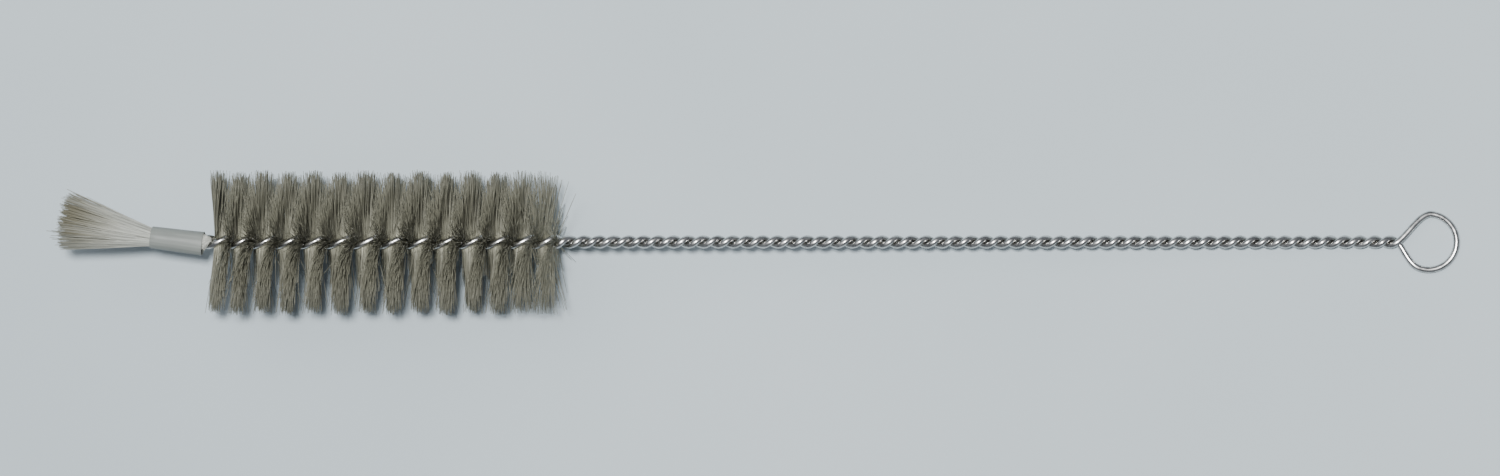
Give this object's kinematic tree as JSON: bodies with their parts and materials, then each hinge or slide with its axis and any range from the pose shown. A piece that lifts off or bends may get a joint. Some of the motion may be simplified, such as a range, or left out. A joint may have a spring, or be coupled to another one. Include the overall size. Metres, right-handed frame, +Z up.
{
  "type": "test tube brush",
  "caption": "Test tube brush: a spiral bristle head on a twisted wire handle, with a sleeved pale tuft at the tip and a hanging loop at the end.",
  "frame": {"origin": "centre of the bounding box, at its bottom, which is the surface that the brush lies on", "axes": "+X along the brush from the tip tuft to the hanging loop, +Z up, +Y across the loop's plane"},
  "size_m": [0.2976, 0.03, 0.0346],
  "materials": {
    "wire": "satin",
    "bristles": "matte",
    "sleeve": "satin",
    "tuft": "matte"
  },
  "bodies": {
    "root": {"twisted_wire": "wire", "bristle_head": "bristles", "tip_sleeve": "sleeve", "tip_tuft": "tuft"}
  },
  "joints": []
}
